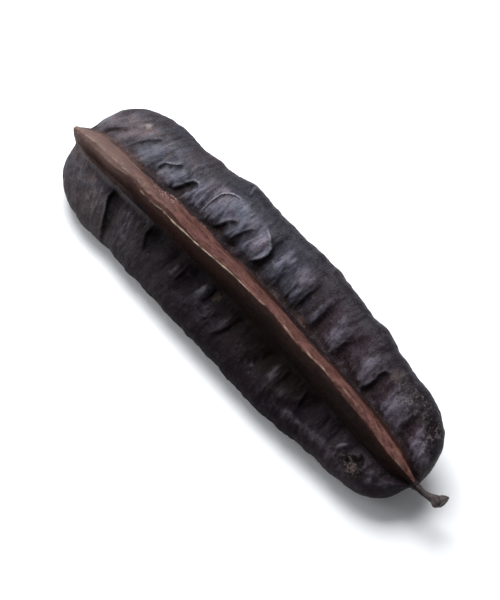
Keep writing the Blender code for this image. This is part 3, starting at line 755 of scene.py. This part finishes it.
def with_hollows(flesh):
    """The flesh with painted shade and light in its hollows, pockets, gutters, edge, feet and the lips of
    its folds.
    """
    # Painted shade in the hollows.
    hollow_shade = mixed(noted("plum"), GREY_HOLLOW_SHADE, PLUM_HOLLOW_SHADE)
    flesh = mixed(between(plus(noted("sunk_shade"), spots, 0.4), 0.30, 1.10, 0.0, 0.70), flesh, hollow_shade)
    # Painted shadow on the floors of the pockets beside the folds.
    flesh = mixed(between(plus(noted("pocket_shade"), spots, 0.3), 0.15, 1.0, 0.0, 0.90), flesh, POCKET_SHADOW)
    # Dust and painted shade in the gutters, brown dust by the beak.
    dust_and_painted_light = mixed(between(noted("beakward"), 0.60, 1.0), GUTTER_DUST_AND_SHADE, GUTTER_BROWN)
    flesh = mixed(between(noted("gutter"), 0.0, 1.0, 0.0, 0.85), flesh, dust_and_painted_light)
    # Painted shade, reddish, at the broad wing's foot beside the crest.
    flesh = mixed(between(noted("red_foot"), 0.0, 1.0, 0.0, 0.5), flesh, RED_FOOT_SHADE)
    red_flecks = between(plus(plus(noted("red_foot"), pores, 1.6), spots, 0.8), 2.30, 2.60, 0.0, 0.6)
    flesh = mixed(red_flecks, flesh, RED_FLECK)
    # Painted shade darkens the broad wing's edge.
    flesh = mixed(between(noted("margin"), 0.0, 1.0, 0.0, 0.70), flesh, EDGE_SHADE)
    # Painted light brightens the low wing's foot near the beak.
    flesh = mixed(between(plus(noted("painted_light_foot"), spots, 0.6), 0.3, 1.3, 0.0, 0.7), flesh, FOOT_PAINTED_LIGHT)
    # A painted highlight on each fold's lip and a painted shadow under it.
    lip_highlight_band = product(between(lip_side, 0.38, 0.48), between(lip_side, 0.54, 0.70, 1.0, 0.0))
    under_lip_shadow_band = product(between(lip_side, 0.20, 0.42), between(lip_side, 0.42, 0.49, 1.0, 0.0))
    flesh = mixed(product(product(under_lip_shadow_band, noted("near_fold")), 0.6), flesh, UNDER_LIP_SHADOW)
    return mixed(product(product(lip_highlight_band, noted("lip_highlight_shows")), 0.70), flesh, LIP_HIGHLIGHT)


YELLOW_RUST = (0.078, 0.055, 0.040)
RED_RUST = (0.084, 0.037, 0.028)
DUSTY_SPOT = (0.085, 0.078, 0.098)
PORE = (0.006, 0.004, 0.005)
DARK_STREAK = (0.007, 0.005, 0.006)
PALE_GRAIN = (0.100, 0.082, 0.105)
DARK_GRAIN = (0.004, 0.003, 0.004)
BLUE_GLINT = (0.150, 0.150, 0.190)
BROWN_GLINT = (0.170, 0.100, 0.075)
PIT = (0.006, 0.004, 0.004)
PINK_CRUMB = (0.120, 0.082, 0.080)
BLUE_CRUMB = (0.085, 0.083, 0.112)
POWDER = (0.120, 0.086, 0.073)
PALE_SPOT = (0.26, 0.22, 0.21)


def with_grain(flesh):
    """The flesh with its rusty stains, spots, pores and streaks, and a fine grain with glints."""
    rusty = mixed(noted("red_foot"), YELLOW_RUST, RED_RUST)
    flesh = mixed(between(plus(noted("rust"), spots, 0.5), 0.55, 1.15, 0.0, 0.55), flesh, rusty)
    lit = between(noted("low_wing_shade"), 0.0, 1.0, 1.0, 0.35)
    flesh = mixed(product(between(spots, 0.50, 0.70, 0.0, 0.22), lit), flesh, DUSTY_SPOT)
    flesh = mixed(between(pores, 0.50, 0.32, 0.0, 0.30), flesh, PORE)
    flesh = mixed(between(streaks, 0.48, 0.32, 0.0, 0.40), flesh, DARK_STREAK)
    flesh = mixed(product(between(grain, 0.50, 0.72, 0.0, 0.18), lit), flesh, PALE_GRAIN)
    flesh = mixed(between(grain, 0.50, 0.30, 0.0, 0.30), flesh, DARK_GRAIN)
    glints = product(between(plus(grain, pores, 0.8), 1.08, 1.22, 0.0, 0.6), between(blots, 0.46, 0.62))
    glints = product(glints, between(noted("low_wing_shade"), 0.0, 1.0, 1.0, 0.45))
    return mixed(glints, flesh, mixed(between(blots, 0.45, 0.55), BLUE_GLINT, BROWN_GLINT))


def with_crumbs(flesh):
    """The flesh with pits, crumbs and powder on it, and one pale spot."""
    pitted = between(plus(plus(noted("crumbs"), pores, -1.6), spots, -0.6), -0.82, -0.48, 0.0, 0.7)
    flesh = mixed(pitted, flesh, PIT)
    powdered = between(plus(plus(noted("crumbs"), spots, 0.9), pores, 1.3), 1.70, 2.30, 0.0, 0.75)
    flesh = mixed(powdered, flesh, POWDER)
    crumbly = plus(plus(plus(noted("crumbs"), spots, 0.5), pores, 2.2), grain, 0.4)
    bluish = product(noted("margin"), between(spots, 0.46, 0.56))
    flesh = mixed(between(crumbly, 2.20, 2.65, 0.0, 0.50), flesh, mixed(bluish, PINK_CRUMB, BLUE_CRUMB))
    return mixed(product(noted("pale_spot"), 0.7), flesh, PALE_SPOT)


DARK_WOOD = (0.040, 0.016, 0.014)
RED_WOOD = (0.128, 0.056, 0.048)
WOOD_GRAIN = (0.210, 0.105, 0.075)
WOOD_SPOT = (0.150, 0.074, 0.058)
WOOD_CLOUD = (0.070, 0.030, 0.027)
WOOD_BLOT = (0.175, 0.083, 0.070)
WOOD_PORE = (0.038, 0.016, 0.014)
GREYED_WOOD = (0.120, 0.085, 0.075)
WHITE_FLECK = (0.50, 0.44, 0.44)
RUDDY_WOOD = (0.200, 0.092, 0.080)
FLANK_SHADE = (0.023, 0.0095, 0.0070)
TOP_HIGHLIGHT_WOOD = (0.190, 0.140, 0.115)
RIM_HIGHLIGHT = (0.27, 0.20, 0.15)


def crest_wood():
    """Fibrous red-brown wood, greyed by the beak, with painted shade on its flanks and painted highlights
    on its top and rim.
    """
    wood = mixed(between(fibres, 0.34, 0.66), DARK_WOOD, RED_WOOD)
    wood = mixed(between(grain, 0.52, 0.72, 0.0, 0.5), wood, WOOD_GRAIN)
    wood = mixed(between(spots, 0.45, 0.72, 0.0, 0.4), wood, WOOD_SPOT)
    wood = mixed(between(clouds, 0.45, 0.65, 0.0, 0.4), wood, WOOD_CLOUD)
    wood = mixed(between(blots, 0.50, 0.66, 0.0, 0.35), wood, WOOD_BLOT)
    wood = mixed(between(pores, 0.50, 0.34, 0.0, 0.35), wood, WOOD_PORE)
    wood = mixed(between(noted("beakward"), 0.2, 1.0, 0.0, 0.6), wood, GREYED_WOOD)
    white_flecks = product(between(plus(pores, grain, 0.8), 1.04, 1.10), noted("flecked"))
    wood = mixed(white_flecks, wood, WHITE_FLECK)
    wood = mixed(product(between(fibres, 0.35, 0.70), product(noted("ruddy"), 0.45)), wood, RUDDY_WOOD)
    # Painted shade on the crest's flanks.
    wood = mixed(between(plus(noted("flank_shade"), spots, 0.3), 0.10, 1.10), wood, FLANK_SHADE)
    # Patchy painted highlight on the crest's top by the beak.
    top_highlight_patches = product(between(plus(spots, pores, 0.5), 0.60, 0.95), product(noted("top_highlight"), 0.6))
    wood = mixed(top_highlight_patches, wood, TOP_HIGHLIGHT_WOOD)
    # A painted highlight along the crest's rim.
    rim_highlight_shows = between(plus(noted("rim_shows"), spots, 0.8), 0.60, 1.20)
    rim_highlight = product(between(noted("rim"), 0.62, 0.85), rim_highlight_shows)
    return mixed(rim_highlight, wood, RIM_HIGHLIGHT)


STALK_DARK = (0.026, 0.019, 0.018)
STALK_GREY = (0.066, 0.051, 0.050)
FOOT_SHADE = (0.0075, 0.0042, 0.0035)
HOLE_SHADE = (0.0035, 0.0025, 0.0025)
GUTTER_SHINE = (0.04, 0.04, 0.04)

flesh = with_crumbs(with_grain(with_hollows(flesh_with_bloom_and_painted_light())))
colour = mixed(between(plus(noted("wood"), spots, 0.5), 0.44, 1.06), flesh, crest_wood())
colour = mixed(noted("stalk"), colour, mixed(between(fibres, 0.3, 0.7), STALK_DARK, STALK_GREY))
# Painted shade at the crest's foot and the low wing's foot.
colour = mixed(between(plus(noted("crest_foot_shade"), spots, 0.4), 0.20, 1.15, 0.0, 0.85), colour, FOOT_SHADE)
# Painted shade inside the insect's holes.
colour = mixed(noted("bored"), colour, HOLE_SHADE)
feed(surface.inputs["Base Color"], colour)
shine = between(plus(plus(noted("bloom_and_sheen"), blots, 0.5), noted("margin"), -0.4), 0.25, 1.1, 0.10, 0.38)
shine = plus(shine, noted("low_wing_shade"), -0.08)
feed(surface.inputs["Specular IOR Level"], mixed(between(noted("gutter"), 0.0, 0.6), shine, GUTTER_SHINE))
feed(surface.inputs["Roughness"], between(plus(spots, noted("beakward"), 0.3), 0.3, 0.9, 0.45, 0.70))

# The lips' edges and the finest grain are too small for the mesh.
lip_height = plus(between(lip_side, 0.36, 0.50), between(lip_side, 0.50, 0.75), -0.7)
lip_edge = made("ShaderNodeBump")
feed(lip_edge.inputs["Strength"], 0.7)
feed(lip_edge.inputs["Distance"], 0.0006)
feed(lip_edge.inputs["Height"], product(lip_height, noted("near_fold")))
fine_grain = made("ShaderNodeBump")
feed(fine_grain.inputs["Strength"], 0.6)
feed(fine_grain.inputs["Distance"], 0.0004)
grain_height = plus(plus(spots, pores, 0.6), mixed(noted("wood"), creases, fibres), 0.35)
feed(fine_grain.inputs["Height"], grain_height)
feed(fine_grain.inputs["Normal"], lip_edge.outputs["Normal"])
feed(surface.inputs["Normal"], fine_grain.outputs["Normal"])

pod.data.materials.append(skin)
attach(pod, "root")
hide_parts("aridan_pod")

# The floor is a plain sheet of pale paper under the pod. It is wide enough to fill the picture.
FLOOR_WIDTH = 4
PALE_PAPER = (0.86, 0.86, 0.86, 1)

bpy.ops.object.select_all(action='DESELECT')
bpy.ops.mesh.primitive_plane_add(size=FLOOR_WIDTH, location=(0, 0, 0))
floor = bpy.context.object
floor.name = "floor"
floor_paper = bpy.data.materials.new("pale_floor")
floor_paper.use_nodes = True
floor_paper.node_tree.nodes["Principled BSDF"].inputs["Base Color"].default_value = PALE_PAPER
floor_paper.node_tree.nodes["Principled BSDF"].inputs["Roughness"].default_value = 0.9
floor.data.materials.append(floor_paper)

# Soft studio light. The stronger of two square lamps stands above the beak's end of the broad wing, the
# weaker one is low by the beak, and the room has little light of its own.
ROOM_COLOUR = (0.93, 0.96, 1.0, 1)
ROOM_LIGHT = 0.24
LAMP_DISTANCE = 0.9

room = bpy.data.worlds.new("room")
room.use_nodes = True
room.node_tree.nodes["Background"].inputs["Color"].default_value = ROOM_COLOUR
room.node_tree.nodes["Background"].inputs["Strength"].default_value = ROOM_LIGHT
bpy.context.scene.world = room


def soft_lamp(name, direction, size, power, colour):
    lamp = bpy.data.lights.new(name, 'AREA')
    lamp.shape = 'SQUARE'
    lamp.size = size
    lamp.energy = power
    lamp.color = colour
    stand = bpy.data.objects.new(name, lamp)
    bpy.context.scene.collection.objects.link(stand)
    stand.location = Vector(direction).normalized() * LAMP_DISTANCE
    stand.rotation_euler = (-stand.location).to_track_quat('-Z', 'Y').to_euler()


soft_lamp("window_lamp", (-0.48, 0.36, 0.80), 0.65, 15.5, (0.95, 0.97, 1.0))
soft_lamp("beak_end_lamp", (-0.80, -0.42, 0.45), 0.7, 4.0, (0.96, 0.97, 1.0))

# The camera looks down on the pod from the stalk's side, as in the photograph. Its lens is long, as for
# a small thing seen from a little way off.
CAMERA_AZIMUTH = math.radians(50.32)
CAMERA_ELEVATION = math.radians(60)
CAMERA_DISTANCE = 0.6
AIM = Vector((0.00065, -0.0033, 0.016))
FILM_HEIGHT = 36
LENS = 113.1

camera = bpy.data.cameras.new("camera")
camera.sensor_fit = 'VERTICAL'
camera.sensor_height = FILM_HEIGHT
camera.lens = LENS
level = math.cos(CAMERA_ELEVATION)
towards_camera = Vector((math.sin(CAMERA_AZIMUTH) * level, -math.cos(CAMERA_AZIMUTH) * level,
                         math.sin(CAMERA_ELEVATION)))
viewer = bpy.data.objects.new("camera", camera)
bpy.context.scene.collection.objects.link(viewer)
viewer.location = AIM + towards_camera * CAMERA_DISTANCE
viewer.rotation_euler = (-towards_camera).to_track_quat('-Z', 'Y').to_euler()
bpy.context.scene.camera = viewer
bpy.context.scene.view_settings.view_transform = 'Standard'
